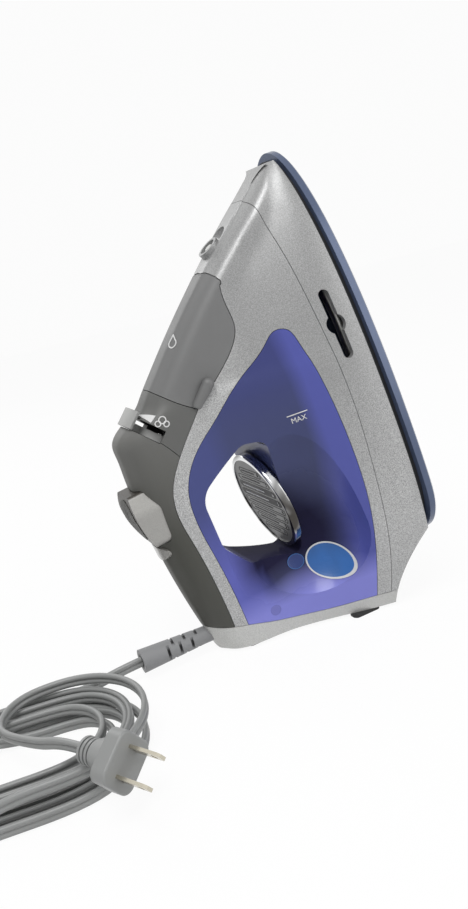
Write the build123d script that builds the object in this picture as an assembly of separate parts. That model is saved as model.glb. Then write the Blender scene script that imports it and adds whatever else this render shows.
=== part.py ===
from build123d import *
import math
import os

os.makedirs("parts", exist_ok=True)

# Steam iron, standing on its heel. Every piece is drawn in the ironing frame, X to the nose, Y to the side
# and Z up from the sole, and is then stood up on the heel. Millimetres.

# Driving dimensions of the body
sole_length = 225.0
sole_width = 117.0
sole_thickness = 5.0
sole_corner_pull = 0.29
rim_chamfer = 1.2
shield_height = 3.0
shield_inset = 4.0
shield_width = 7.0
skirt_inset = 2.5
wall = 2.4
seam_gap = 0.3
running_gap = 0.05
seat_gap = 0.3
move_gap = 0.4
heel_depth = 41.5
lean = 8.0
foot_height = 2.0

# Handle and crest
crest_top = 147.0
crest_centre_x = 85.0
crest_bow = 0.00095
nose_rise = 1.44
nose_bow = 0.0024
lever_step_x = 124.5
lever_step_rise = 2.2
crest_blend = 5.0
nose_wall_share = 1.7
handle_under = 115.5
grip_half = 18.5
grip_share = 0.78
crown_height = 20.0
crown_share = 0.62
waist_share = 0.8

# Dial
dial_x = 44.0
dial_z = 77.5
dial_radius = 31.0
dial_rim_width = 2.8
dial_thickness = 5.5
dial_face_recess = 0.7
dial_tilt = 5.7
dial_shaft_radius = 3.0
deck_gap = 1.0

# Door, lever, button
door_hinge_x = 177.5
door_hinge_depth = 7.5
hinge_pin_radius = 1.4
hinge_pin_length = 18.0
lever_axle_radius = 2.0
lever_radius = 20.5
lever_thickness = 4.0
lever_hub_radius = 6.0
lever_strip_radius = 14.4
lever_strip_half_angle = 88.0
lever_stem_half_angle = 17.0
lever_tab_inner, lever_tab_outer = 21.8, 24.0
lever_tab_half_angle = 27.0
lever_tab_length = 10.0
slot_half_angle = 74.0
slot_front_gap = 2.8
button_x = 70.0
button_length = 32.0
button_width = 30.0
button_proud = 6.0
button_depth = 13.0
button_travel = 4.0
plunger_radius = 2.5
plunger_length = 9.0
pump_radius = 9.0
lens_x = 47.0
lens_half_length = 4.5
lens_half_width = 10.5
lens_proud = 1.3
lens_depth = 4.9

# Cord
cord_diameter = 6.0
guard_length = 42.0
guard_root_radius = 5.0
guard_end_radius = 6.8
guard_height = 11.0

body_half_y = 90.0
skirt_low = sole_thickness + shield_height
heel_slope = math.tan(math.radians(lean))


def sole_half(x):
    """Half-width of the sole at a station, a half ellipse drawn in at the heel corners."""
    share = 1 - min(max(x, 0.0) / sole_length, 1.0) ** 2
    corner = max(0.0, (60.0 - x) / 62.0) ** 6
    return sole_width / 2 * math.sqrt(share) * (1 - sole_corner_pull * min(corner, 1.0))


def body_foot(x):
    """Half-width of the body shells at their lower edge."""
    share = 1 - min(max(x, 0.0) / (sole_length + 1.0), 1.0) ** 2
    rear = max(0.0, (60.0 - x) / 96.0) ** 2.5
    return (sole_width / 2 - skirt_inset) * math.sqrt(share) * (1 - 0.22 * rear)


def soft_min(a, b, blend):
    return 0.5 * (a + b - math.sqrt((a - b) ** 2 + blend ** 2))


def nose_line(x):
    t = sole_length - 2.0 - x
    return skirt_low + nose_rise * t - nose_bow * t * t


def handle_line(x):
    return crest_top - crest_bow * (x - crest_centre_x) ** 2


def crest(x):
    """Height of the ridge line: the nose slope, the step behind the lever and the handle's top."""
    step = nose_line(lever_step_x) + (lever_step_x - x) * lever_step_rise
    return soft_min(max(nose_line(x), step), handle_line(x), crest_blend)


def inner_crest(x, inset):
    """Ridge of the hollow, under the nose slope and the handle's top by the wall."""
    return soft_min(nose_line(x) - inset * nose_wall_share, handle_line(x) - inset, 2 * crest_blend)


def half_section(x, inset, base):
    """Points of the right half of a body section, from its foot to the ridge."""
    foot = body_foot(x) - inset
    peak = inner_crest(x, inset) if inset else crest(x)
    rise = peak - base
    grip = min(grip_half, grip_share * body_foot(x)) - inset
    crown = min(crown_height, crown_share * rise)
    crown_start = 1 - crown / rise
    points = []
    for step in range(7):
        s = crown_start * step / 6
        blend = (1 + math.cos(math.pi * min(s / waist_share, 1.0))) / 2
        points.append((grip + (foot - grip) * blend, base + s * rise))
    shoulder = points[-1][0]
    for step in range(1, 4):
        angle = math.radians(90.0 * step / 4)
        y = shoulder * math.cos(angle)
        points.append((y, base + crown_start * rise + crown * math.sin(angle)))
    return points + [(0.0, peak)]


def body_section(x, inset, base):
    half = half_section(x, inset, base)
    right = Spline([(x, y, z) for y, z in half], tangents=[(0, 0, 1), (0, -1, 0)])
    left = Spline([(x, -y, z) for y, z in half], tangents=[(0, 0, 1), (0, 1, 0)])
    base_line = Line(left @ 0, right @ 0)
    return make_face([base_line, right, left])


outer_stations = [220, 215, 208, 197, 184, 168, 152, 138, 129, 124, 119, 113, 105, 92, 72, 45, 18, -8, -28, -48]
inner_stations = [211, 205, 196, 184, 168, 152, 138, 127, 117, 107, 92, 72, 45, 18, -8, -28, -48]


def body_form(stations, inset, base):
    """The whole form of body and handle, drawn in by an inset."""
    return loft([body_section(x, inset, base) for x in stations])


def across(face):
    """Side-view face carried right across the body."""
    return extrude(face, amount=body_half_y, both=True)


def outline_face(points, radii=None):
    if radii is None:
        return make_face(Plane.XZ * Polyline(*points, close=True))
    return make_face(Plane.XZ * FilletPolyline(*points, radius=radii, close=True))


def block(x0, x1, y0, y1, z0, z1):
    return Pos((x0 + x1) / 2, (y0 + y1) / 2, (z0 + z1) / 2) * Box(x1 - x0, y1 - y0, z1 - z0)


def upright(radius, z0, z1):
    return Pos(0, 0, (z0 + z1) / 2) * Cylinder(radius, z1 - z0)


def heel_x(z):
    """The heel's outer face in the ironing frame."""
    return -heel_depth + z * heel_slope


def shifted(points, offset_by):
    """Side-view points moved to the left of their direction."""
    moved = []
    for i, (x, z) in enumerate(points):
        x0, z0 = points[max(i - 1, 0)]
        x1, z1 = points[min(i + 1, len(points) - 1)]
        run = math.hypot(x1 - x0, z1 - z0)
        moved.append((x - (z1 - z0) / run * offset_by, z + (x1 - x0) / run * offset_by))
    return moved


def zone(points, offset_by, corners):
    """Prism on the left of a smooth side-view curve, closed through straight corner points."""
    moved = shifted(points, offset_by)
    curve = Spline([(x, z) for x, z in moved])
    closing = Polyline(moved[-1], *corners, moved[0])
    return across(make_face(Plane.XZ * Curve([curve, closing])))


# Side-view outlines in the ironing frame
deck_z = dial_z - dial_thickness - deck_gap
deck_slope = math.tan(math.radians(dial_tilt))


def deck_at(x):
    return deck_z + (x - dial_x) * deck_slope


opening_points = [
    (87.0, deck_at(87.0)),
    (89.0, 87.0),
    (70.0, handle_under + 1.0),
    (38.0, handle_under),
    (22.0, 104.0),
    (8.0, deck_at(8.0)),
]
opening_radii = [5.0, 8.0, 14.0, 10.0, 12.0, 6.0]
skirt_seam = [(232, 34), (207, 31), (180, 29), (140, 28), (90, 27), (45, 29.5), (0, 33), (-28, 37), (-60, 40)]
tank_seam = [
    (-60, 121), (-11, 118.5), (34, 121.5), (61, 124), (78, 121.5), (93, 111.5), (106, 95.5), (116.5, 83),
    (125.1, 69.5), (134.4, 56), (139.3, 48.8), (138, 43.8), (131, 41.2), (118, 39.4), (97, 37.2), (70, 36), (32, 37), (-4, 41.5), (-60, 50),
]
band_seam = [(-60, 130), (-8, 126), (25, 127.5), (48, 130), (65, 132), (81, 129.5), (93, 122), (104, 112),
             (116.5, 100)]
heel_seam = [(-3, 165), (-6, 138), (-9, 126), (-12, 117), (-18, 102), (-22, 86), (-25, 66), (-26.5, 46),
             (-27.5, 38), (-28, 10)]
lever_seam = [(141, 154.5), (120, 136.5), (107, 125.5), (96, 119), (80, 112)]


def skirt_zone(gap):
    return zone(skirt_seam, gap, [(-60, -20), (232, -20)])


def tank_zone(gap):
    return zone(tank_seam, -gap, [])


def handle_zone(gap):
    return zone(band_seam, gap, [(126, 92), (170, 125), (160, 230), (-60, 230)])


def heel_zone(gap):
    return zone(heel_seam, gap, [(-120, 10), (-120, 165)])


def lever_zone(gap):
    """Everything behind the seam that the lever works in."""
    return zone(lever_seam, -gap, [(-90, 112), (-90, 230), (141, 230)])


# Door patch, hinged at the nozzle end on a round knuckle
hinge_slope = (nose_line(door_hinge_x - 0.5) - nose_line(door_hinge_x + 0.5))
hinge_normal = (hinge_slope / math.hypot(1, hinge_slope), 1 / math.hypot(1, hinge_slope))
door_pin_x = door_hinge_x - door_hinge_depth * hinge_normal[0]
door_pin_z = nose_line(door_hinge_x) - door_hinge_depth * hinge_normal[1]
door_swing = 66.5
door_edge = [(165, 65.2), (157, 65.2), (148, 65.8), (139.1, 71.2), (129.3, 82.0), (120, 94.6), (110, 107.6)]
knuckle_shape = [(0.0, 7.7), (6.4, 7.25), (10.9, 5.5), (14.7, 3.6), (17.2, 1.4), (18.0, 0.0)]


def door_knuckle(grow):
    """Barrel about the hinge pin that follows the nose, so the door's front edge turns in place."""
    side = [(y + grow * y / 18, radius + grow) for y, radius in knuckle_shape[:-1]]
    end = (knuckle_shape[-1][0] + grow, 0)
    rim = Polyline(*[(-y, radius) for y, radius in reversed(side)], *side[1:])
    profile = make_face(rim + Polyline(rim @ 1, end, (-end[0], 0), rim @ 0))
    return Pos(door_pin_x, 0, door_pin_z) * Rot(0, 0, 90) * revolve(profile, Axis.X)


def door_zone(grow):
    """The door's side-view patch, its rear edge an arc about the pin, grown all round by a clearance."""
    front = (door_pin_x + 40 * hinge_normal[0], door_pin_z + 40 * hinge_normal[1])
    edge = shifted([(door_pin_x, door_pin_z)] + door_edge, grow)
    closing = Polyline(edge[-1], (125, 150), front, edge[0])
    face = make_face(Plane.XZ * Curve([Spline(edge), closing]))
    swing = Plane.XZ * Pos(door_pin_x, door_pin_z) * Circle(door_swing + grow)
    return across(face & swing) + door_knuckle(grow)


# Master form and the hollow shell that the covers are cut from
heel_far = -160.0
cove_mid = (-14.0, 26.0)
cove_top = 36.0


def heel_side(inset):
    """Everything behind the heel's face."""
    low, high = -60.0, 260.0
    return across(outline_face([
        (heel_x(low) + inset, low), (heel_x(high) + inset, high), (heel_far, high), (heel_far, low),
    ]))


def cove_side(inset):
    """Everything below the hollow at the rear of the skirt."""
    start = (4.0 + inset, skirt_low - 1.0)
    end = (heel_x(cove_top) - 4.0, cove_top + inset)
    arc = ThreePointArc(start, (cove_mid[0] + inset / 2, cove_mid[1] + inset), end)
    rest = Polyline(end, (heel_far, cove_top + inset), (heel_far, -60), (4.0 + inset, -60), start)
    return across(make_face(Plane.XZ * Curve([arc, rest])))


hollow_radius = 40.0
hollow_rear = (20.0, 52.0, 80.0)
hollow_front = (78.0, 70.0, 82.0)


def side_hollows(grow):
    """Dished flanks under the dial, deepest by the heel, on both sides."""
    cuts = []
    for side in (-1, 1):
        ends = [(x, side * y, z) for x, y, z in (hollow_rear, hollow_front)]
        line = Line(*ends)
        dish = sweep(Plane(line @ 0, z_dir=line % 0) * Circle(hollow_radius + grow), path=line)
        for end in ends:
            dish += Pos(*end) * Sphere(hollow_radius + grow)
        cuts.append(dish)
    return cuts[0] + cuts[1]


opening_face = outline_face(opening_points, opening_radii)
outer_form = body_form(outer_stations, 0.0, skirt_low) - heel_side(0.0) - cove_side(0.0) - across(opening_face)
outer_form = outer_form - side_hollows(0.0)
hollow_limits = heel_side(wall) + cove_side(wall) + across(offset(opening_face, amount=wall)) + side_hollows(wall)
inner_form = body_form(inner_stations, wall, skirt_low - 3.0) - hollow_limits
seat_limits = heel_side(wall + seat_gap) + across(offset(opening_face, amount=wall + seat_gap))
seat_limits = seat_limits + side_hollows(wall + seat_gap)
seat_form = body_form(inner_stations, wall + seat_gap, skirt_low - 3.0) - seat_limits
shell = outer_form - inner_form
half_gap = seam_gap / 2


def group(copies):
    """Equal pieces kept together as one node."""
    return Compound([solid for copy in copies for solid in copy.solids()])


# Soleplate, heater and steam chamber
chamber_points = [(34, 29), (75, 29), (130, 20), (168, 7), (168, -7), (130, -20), (75, -29), (34, -29)]
chamber_wall = 3.0
chamber_height = 10.0
chamber_top = sole_thickness + chamber_height
cover_thickness = 1.5
cover_top = chamber_top + cover_thickness
heater_radius = 3.25
heater_z = sole_thickness + heater_radius + 0.1
heater_rise = 22.0
vent_radius = 2.0
vent_rows = [(52, 21), (70, 21), (88, 18.5), (106, 15), (124, 11), (142, 6)]
boss_points = [(42, 18), (42, -18), (150, 0)]
boss_radius = 4.5
screw_radius = 1.5
screw_head_radius = 3.4
screw_head_height = 2.0


def sole_outline(inset=0.0):
    """Outline of the sole, or of a smaller copy that lies inside it by the inset all round."""
    shares = (0.99, 0.965, 0.91, 0.82, 0.7, 0.55, 0.4, 0.25, 0.15, 0.08, 0.03, 0.0)
    length_share = 1 - 2 * inset / sole_length
    width_share = 1 - 2 * inset / sole_width
    stretch = [sole_length * share for share in shares]
    side = [(inset + x * length_share, sole_half(x) * width_share) for x in stretch]
    tip = (sole_length - inset, 0.0)
    right = Spline([tip] + side)
    left = Spline([tip] + [(x, -y) for x, y in side])
    return make_face([right, left, Line(right @ 1, left @ 1)])


def chamber_face(inset):
    face = make_face(FilletPolyline(*chamber_points, radius=5.0, close=True))
    return offset(face, amount=-inset) if inset else face


def make_soleplate():
    plate = extrude(sole_outline(), amount=sole_thickness)
    rim = plate.faces().sort_by(Axis.Z)[0].outer_wire().edges()
    plate = chamfer(rim, rim_chamfer)
    ring = extrude(chamber_face(0.0) - chamber_face(chamber_wall), amount=chamber_height)
    plate += Pos(0, 0, sole_thickness) * ring
    for x, y in boss_points:
        plate += Pos(x, y, 0) * upright(boss_radius, sole_thickness, chamber_top)
        plate -= Pos(x, y, 0) * upright(screw_radius + running_gap, sole_thickness + 2, chamber_top)
    for x, y in vent_rows:
        for side in (-1, 1):
            plate -= Pos(x, side * y, 0) * upright(vent_radius, -1, sole_thickness + 1)
    return plate


def make_heating_element():
    plan = [(16, -34), (70, -35.5), (130, -27.5), (176, -13.5), (188, 0),
            (176, 13.5), (130, 27.5), (70, 35.5), (16, 34)]
    flat = [(x, y, heater_z) for x, y in plan]
    path = [(plan[0][0], plan[0][1], heater_z + heater_rise)] + flat
    path += [(plan[-1][0], plan[-1][1], heater_z + heater_rise)]
    line = FilletPolyline(*path, radius=[9.0, 40.0, 40.0, 14.0, 7.0, 14.0, 40.0, 40.0, 9.0])
    start = Plane(line @ 0, z_dir=line % 0)
    return sweep(start * Circle(heater_radius), path=line)


def make_chamber_cover():
    plate = Pos(0, 0, chamber_top) * extrude(chamber_face(0.0), amount=cover_thickness)
    for x, y in boss_points:
        plate -= Pos(x, y, 0) * upright(screw_radius + running_gap, chamber_top - 1, cover_top + 1)
    plate -= Pos(valve_x, 0, 0) * upright(valve_bore, chamber_top - 1, cover_top + 1)
    return plate


def make_chamber_screws():
    screws = []
    for x, y in boss_points:
        head = upright(screw_head_radius, cover_top, cover_top + screw_head_height)
        shank = upright(screw_radius, sole_thickness + 3, cover_top)
        slot = block(-5, 5, -0.4, 0.4, cover_top + screw_head_height - 0.8, cover_top + 5)
        screws.append(Pos(x, y, 0) * (head + shank - slot))
    return group(screws)


def make_heat_shield():
    outer = extrude(sole_outline(shield_inset), amount=shield_height)
    inner = extrude(sole_outline(shield_inset + shield_width), amount=shield_height)
    return Pos(0, 0, sole_thickness) * (outer - inner)


# Water path and controls inside the body
valve_x = 96.0
valve_radius = 5.0
valve_bore = 1.5
base_low = 36.0
base_rear = -26.0
base_thickness = 2.4
base_high = base_low + base_thickness
sleeve_wall = 2.2
dial_plane = Plane(
    origin=(dial_x, 0, dial_z),
    x_dir=(math.cos(math.radians(dial_tilt)), 0, math.sin(math.radians(dial_tilt))),
    z_dir=(-math.sin(math.radians(dial_tilt)), 0, math.cos(math.radians(dial_tilt))),
)
thermostat_top = -44.0
dial_floor = 1.5


def on_dial_axis(radius, z0, z1):
    return dial_plane * Pos(0, 0, (z0 + z1) / 2) * Cylinder(radius, z1 - z0)


def make_tank_base():
    plate = seat_form & block(base_rear, 172, -body_half_y, body_half_y, base_low, base_high)
    sleeve_top = -(dial_thickness + deck_gap + wall + seat_gap)
    sleeve = on_dial_axis(dial_shaft_radius + 0.5 + sleeve_wall, thermostat_top + 2, sleeve_top)
    sleeve &= block(-60, 172, -body_half_y, body_half_y, base_low, 200)
    plate += sleeve
    plate -= on_dial_axis(dial_shaft_radius + 0.5, thermostat_top, 10)
    plate -= Pos(valve_x, 0, 0) * upright(valve_bore, base_low - 1, base_high + 1)
    return plate


def make_drip_valve():
    valve = Pos(valve_x, 0, 0) * upright(valve_radius, cover_top, base_low)
    valve += Pos(valve_x, 0, 0) * upright(valve_radius + 2.5, cover_top, cover_top + 2)
    return valve - Pos(valve_x, 0, 0) * upright(valve_bore, cover_top - 1, base_low + 1)


def make_thermostat():
    body = dial_plane * Pos(0, 0, thermostat_top - 12) * Box(24, 18, 24)
    body &= block(-60, 172, -body_half_y, body_half_y, cover_top, base_low)
    tongue = block(dial_x + 16, dial_x + 30, -4, 4, cover_top, cover_top + 1.2)
    return body + tongue


def make_thermal_fuse():
    tube = Pos(126, 0, cover_top + 2.6) * Cylinder(2.5, 16, rotation=(0, 90, 0))
    foot = block(120, 132, -1.5, 1.5, cover_top, cover_top + 1.5)
    return tube + foot


def make_dial_rim():
    cup = on_dial_axis(dial_radius, -dial_thickness, 0)
    cup = fillet(cup.edges().filter_by(GeomType.CIRCLE), 1.6)
    cup -= on_dial_axis(dial_radius - dial_rim_width, -dial_thickness + dial_floor, 5)
    return cup


def make_dial_face():
    low = -dial_thickness + dial_floor
    return on_dial_axis(dial_radius - dial_rim_width - running_gap, low, -dial_face_recess)


def make_dial_shaft():
    return on_dial_axis(dial_shaft_radius, thermostat_top + seat_gap, -dial_thickness)


# Outer covers
cup_x = 190.4
cup_z = 55.7
cup_tilt = 30.0
cup_radius = 6.6
cup_depth = 11.0
dimple_at = (194.6, 49.2)
dimple_radius = 6.5
nozzle_radius = 4.8
nozzle_recess = 5.0
slot_centre = (131.5, 20.0)
slot_length = 38.0
slot_width = 5.6
slot_eye_radius = 5.2


def along_x(radius, x0, x1, z):
    return Pos((x0 + x1) / 2, 0, z) * Cylinder(radius, x1 - x0, rotation=(0, 90, 0))


def keyhole():
    """Slot with a round eye in its middle, cut through both sides of the skirt."""
    x, z = slot_centre
    straight = slot_length - slot_width
    hole = Pos(x, 0, z) * Box(straight, 2 * body_half_y, slot_width)
    for shift, radius in ((-straight / 2, slot_width / 2), (0, slot_eye_radius), (straight / 2, slot_width / 2)):
        hole += Pos(x + shift, 0, z) * Cylinder(radius, 2 * body_half_y, rotation=(90, 0, 0))
    return hole


def make_skirt():
    return (shell & skirt_zone(half_gap)) - heel_zone(half_gap) - keyhole()


def along_cup(radius, low, high):
    """Cylinder about the spray cup's axis, measured from its rim."""
    turn = math.radians(cup_tilt)
    cup_plane = Plane(origin=(cup_x, 0, cup_z), x_dir=(0, 1, 0), z_dir=(math.cos(turn), 0, math.sin(turn)))
    return cup_plane * Pos(0, 0, (low + high) / 2) * Cylinder(radius, high - low)


def make_body_shell():
    piece = shell - skirt_zone(-half_gap) - heel_zone(half_gap) - handle_zone(-half_gap)
    piece = piece - tank_zone(-half_gap) - door_zone(move_gap)
    dimple = Pos(dimple_at[0], 0, dimple_at[1])
    piece += dimple * Sphere(dimple_radius + wall) & outer_form
    piece -= dimple * Sphere(dimple_radius)
    piece += along_cup(cup_radius, -cup_depth, 0.0) - door_zone(move_gap)
    piece -= button_hole()
    return piece - along_cup(nozzle_radius + running_gap, -nozzle_recess, 20.0)


def make_spray_nozzle():
    return along_cup(nozzle_radius, -nozzle_recess, -1.8) + along_cup(2.2, -1.8, -0.6)


def make_water_tank():
    piece = (shell & tank_zone(half_gap)) - heel_zone(half_gap)
    return piece - on_dial_axis(dial_shaft_radius + running_gap, -40, 5)


def make_handle_covers():
    both = (shell & handle_zone(half_gap)) - heel_zone(half_gap) - door_zone(move_gap)
    both = both - lever_slot()
    return both - lever_zone(-half_gap), (both & lever_zone(half_gap)) - button_hole() - lens_hole()


def make_heel_cover():
    piece = shell & heel_zone(-half_gap)
    for x, y in heel_screw_places:
        piece -= heel_plane * Pos(x, y, 0) * upright(screw_radius + running_gap, -1, 30)
        piece -= heel_plane * Pos(x, y, 0) * upright(screw_head_radius + seat_gap, -1, 1.2)
    return piece - unstand(guard_axis_bar(guard_root_radius + running_gap, -30, 30))


# Fill door and its port
hinge_plane = Plane(
    origin=(door_pin_x, 0, door_pin_z),
    x_dir=(hinge_normal[0], 0, hinge_normal[1]),
    z_dir=(0, -1, 0),
)
ear_inner, ear_outer = 2.0, 5.5
lug_width = 2.5
ear_radius = 2.6
port_depth = 15.0
port_thickness = 2.4
port_neck_radius = 9.0
port_bore = 7.0
port_x = 150.0
catch_ends = [(117.3, 1.4, 99.8), (126.3, 3.0, 90.8)]
catch_radius = 3.2
port_front = 182.0
port_rear = 137.0


def hinge_bar(radius, y0, y1):
    return Pos(door_pin_x, (y0 + y1) / 2, door_pin_z) * Cylinder(radius, y1 - y0, rotation=(90, 0, 0))


def make_fill_door():
    door = shell & door_zone(0.0)
    web_top = door_hinge_depth - wall / 2
    for side in (-1, 1):
        low, high = sorted((side * ear_inner, side * ear_outer))
        ear = hinge_bar(ear_radius, low, high)
        web = hinge_plane * Pos(web_top / 2, 0, -(low + high) / 2) * Box(web_top, 4.0, high - low)
        door += ear + web
    for side in (-1, 1):
        door += finger_catch(side) - inner_form - door_zone_outside()
    return door - hinge_bar(hinge_pin_radius + running_gap, -hinge_pin_length / 2, hinge_pin_length / 2)


def finger_catch(side):
    """Raised rib along the door's lower rear edge, for a finger to lift it by."""
    low, high = ((x, side * (grip_half + out), z) for x, out, z in catch_ends)
    bar = Line(low, high)
    rib = sweep(Plane(bar @ 0, z_dir=bar % 0) * Circle(catch_radius), path=bar)
    return rib + Pos(*low) * Sphere(catch_radius) + Pos(*high) * Sphere(catch_radius)


def door_zone_outside():
    """All that lies outside the door's patch, to trim what is added to the door."""
    return across(outline_face([(60, 20), (230, 20), (230, 180), (60, 180)])) - door_zone(0.0)


def make_door_hinge_pin():
    return hinge_bar(hinge_pin_radius, -hinge_pin_length / 2, hinge_pin_length / 2)


def ridge_point(x, depth):
    return (x - depth * hinge_normal[0], nose_line(x) - depth * hinge_normal[1])


def make_fill_port():
    strip = [ridge_point(port_front, port_depth), ridge_point(port_rear, port_depth),
             ridge_point(port_rear, port_depth + port_thickness), ridge_point(port_front, port_depth + port_thickness)]
    port = seat_form & across(outline_face(strip))
    mouth_x, mouth_z = ridge_point(port_x, port_depth)
    mouth = Plane(origin=(mouth_x, 0, mouth_z), z_dir=(hinge_normal[0], 0, hinge_normal[1]))
    port += mouth * Pos(0, 0, 3) * Cylinder(port_neck_radius, 8)
    port -= mouth * Cylinder(port_bore, 40)
    lug_drop = port_depth - door_hinge_depth + port_thickness / 2
    for side in (-1, 1):
        low, high = sorted((side * (ear_outer + move_gap), side * (ear_outer + move_gap + lug_width)))
        lug = hinge_bar(ear_radius, low, high)
        web = hinge_plane * Pos(-lug_drop / 2, 0, -(low + high) / 2) * Box(lug_drop, 2 * ear_radius, high - low)
        port += lug + web
    return port - hinge_bar(hinge_pin_radius + running_gap / 5, -hinge_pin_length / 2, hinge_pin_length / 2)


# Steam lever on its axle
lever_out = (0.763, 0.646)
lever_ridge = (120.5, 134.4)
lever_centre = (lever_ridge[0] - lever_radius * lever_out[0], lever_ridge[1] - lever_radius * lever_out[1])
lever_plane = Plane(
    origin=(lever_centre[0], 0, lever_centre[1]),
    x_dir=(lever_out[0], 0, lever_out[1]),
    z_dir=(lever_out[1], 0, -lever_out[0]),
)
bracket_thickness = 4.0


def pie(radius, half_angle, thickness):
    turn = math.radians(half_angle)
    rim = ThreePointArc(
        (radius * math.cos(turn), -radius * math.sin(turn)),
        (radius, 0),
        (radius * math.cos(turn), radius * math.sin(turn)),
    )
    edges = [Line((0, 0), rim @ 0), rim, Line(rim @ 1, (0, 0))]
    return extrude(make_face(edges), amount=thickness / 2, both=True)


def lever_slot():
    """Slot across the handle, with a gap left open in front of the lever's strip."""
    length = lever_thickness + move_gap + slot_front_gap
    slot = pie(lever_radius + 14, slot_half_angle, length)
    return lever_plane * Pos(0, 0, (slot_front_gap - move_gap) / 2) * slot


def make_steam_lever():
    lever = pie(lever_strip_radius, lever_strip_half_angle, lever_thickness)
    lever += Cylinder(lever_hub_radius, lever_thickness)
    lever += pie(lever_tab_inner + 1, lever_stem_half_angle, lever_thickness)
    tab = pie(lever_tab_outer, lever_tab_half_angle, lever_tab_length)
    tab -= Cylinder(lever_tab_inner, 2 * lever_tab_length)
    tab = fillet(tab.edges().filter_by(GeomType.LINE).sort_by(Axis.X)[:4], 0.8)
    lever += Pos(0, 0, (lever_tab_length - lever_thickness) / 2) * tab
    lever -= Cylinder(lever_axle_radius + running_gap, 60)
    return lever_plane * lever


def make_lever_axle():
    high = lever_thickness / 2 + 1.0
    low = -(lever_thickness / 2 + move_gap + bracket_thickness)
    return lever_plane * Pos(0, 0, (low + high) / 2) * Cylinder(lever_axle_radius, high - low)


def make_lever_bracket():
    mid = -(lever_thickness / 2 + move_gap + bracket_thickness / 2)
    plate = lever_plane * Pos(-14, 0, mid) * Box(42, 15, bracket_thickness)
    hole = lever_plane * Cylinder(lever_axle_radius + running_gap / 5, 60)
    return (seat_form & plate) - hole


# Burst button and pump
button_front = button_x + button_length / 2
button_rear = button_x - button_length / 2
button_points = [
    (button_front, 10.0), (button_front - 10, button_width / 2), (button_rear, 14.0),
    (button_rear, -14.0), (button_front - 10, -button_width / 2), (button_front, -10.0),
]
button_radii = [3.0, 9.0, 4.0, 4.0, 9.0, 3.0]
button_low = crest_top - button_depth
pump_x = 68.0
pump_top = button_low - button_travel - 0.6


def button_face():
    return make_face(FilletPolyline(*button_points, radius=button_radii, close=True))


def button_hole():
    return Pos(0, 0, button_low - 20) * extrude(offset(button_face(), amount=move_gap), amount=60)


def make_burst_button():
    button = Pos(0, 0, button_low) * extrude(button_face(), amount=30)
    high = crest_top + button_proud
    back = handle_line(button_rear) + 1.5
    crown = Spline([(button_front + 1, high - 1.5), (button_front - 9, high), (button_x - 8, high - 2.2),
                    (button_rear - 1, back)])
    below = Polyline(crown @ 1, (button_rear - 1, button_low - 5), (button_front + 1, button_low - 5), crown @ 0)
    button &= across(make_face(Plane.XZ * Curve([crown, below])))
    return button


def make_pump_plunger():
    return Pos(pump_x, 0, 0) * upright(plunger_radius, button_low - plunger_length, button_low)


def make_pump_body():
    body = seat_form & (Pos(pump_x, 0, 0) * upright(pump_radius, 90, pump_top))
    depth = button_low - plunger_length - button_travel - 0.6
    return body - Pos(pump_x, 0, 0) * upright(plunger_radius + running_gap, depth, pump_top + 1)


def lens_bar(grow, low, high):
    """Oval bar through the handle's top."""
    face = Ellipse(lens_half_length + grow, lens_half_width + grow)
    return Pos(lens_x, 0, low) * extrude(face, amount=high - low)


def lens_hole():
    return lens_bar(running_gap, 125, 160)


def make_indicator_lens():
    return lens_bar(0.0, handle_line(lens_x) - lens_depth, 160) & (Pos(0, 0, lens_proud) * outer_form)


def make_lamp_board():
    board_z = handle_line(lens_x) - 14.0
    board = block(lens_x - 18, lens_x + 3, -7, 7, board_z, board_z + 1.6)
    board += Pos(lens_x, 0, 0) * upright(2.5, board_z, handle_line(lens_x) - 5.2)
    for x in (lens_x - 14, lens_x):
        board += seat_form & block(x - 2, x + 2, -5, 5, 90, board_z)
    return board


# Heel pieces
heel_plane = Plane(
    origin=(heel_x(80), 0, 80),
    x_dir=(math.sin(math.radians(lean)), 0, math.cos(math.radians(lean))),
    z_dir=(math.cos(math.radians(lean)), 0, -math.sin(math.radians(lean))),
)
heel_screw_places = [(-22, 18), (-22, -18), (22, 0)]
foot_places = [(-28, 31), (-28, -31), (33, 11), (33, -11)]
foot_size = (18.0, 8.0)


def make_heel_feet():
    feet = []
    for x, y in foot_places:
        pad = Pos(0, 0, -foot_height / 2) * Box(foot_size[0], foot_size[1], foot_height)
        pad = fillet(pad.edges().filter_by(Axis.Z), 3.0)
        feet.append(heel_plane * Pos(x, y, 0) * pad)
    return group(feet)


def make_heel_screws():
    screws = []
    for x, y in heel_screw_places:
        head = upright(screw_head_radius, 0.2, 1.2)
        shank = upright(screw_radius, 1.2, 11.0)
        slot = block(-5, 5, -0.4, 0.4, 0.0, 0.7)
        screws.append(heel_plane * Pos(x, y, 0) * (head + shank - slot))
    return group(screws)


def make_terminal_block():
    base = block(-4, 14, -13, 13, wall, wall + 9)
    for y in (-8, 0, 8):
        base += Pos(5, y, 0) * upright(2.2, wall + 8, wall + 11)
    return heel_plane * base


def make_cord_clamp():
    bar = block(31, 38, -9, 9, wall, wall + 5.5)
    return heel_plane * (bar - Pos(34, 0, wall + 7) * Cylinder(cord_diameter / 2, 20, rotation=(0, 90, 0)))


# Standing frame: heel down, nose up, handle to -X
tilt = Rot(0, -(90 + lean), 0)
heel_height = heel_depth * math.cos(math.radians(lean)) + foot_height
exit_x = -134.8


def stand(piece):
    return Pos(0, 0, heel_height) * tilt * piece


def unstand(piece):
    return (Pos(0, 0, heel_height) * tilt).inverse() * piece


def guard_axis_bar(radius, x0, x1):
    """Round bar on the cord guard's axis, measured from the heel cover's outside."""
    return Pos(exit_x + (x0 + x1) / 2, 0, guard_height) * Cylinder(radius, x1 - x0, rotation=(0, 90, 0))


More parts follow.
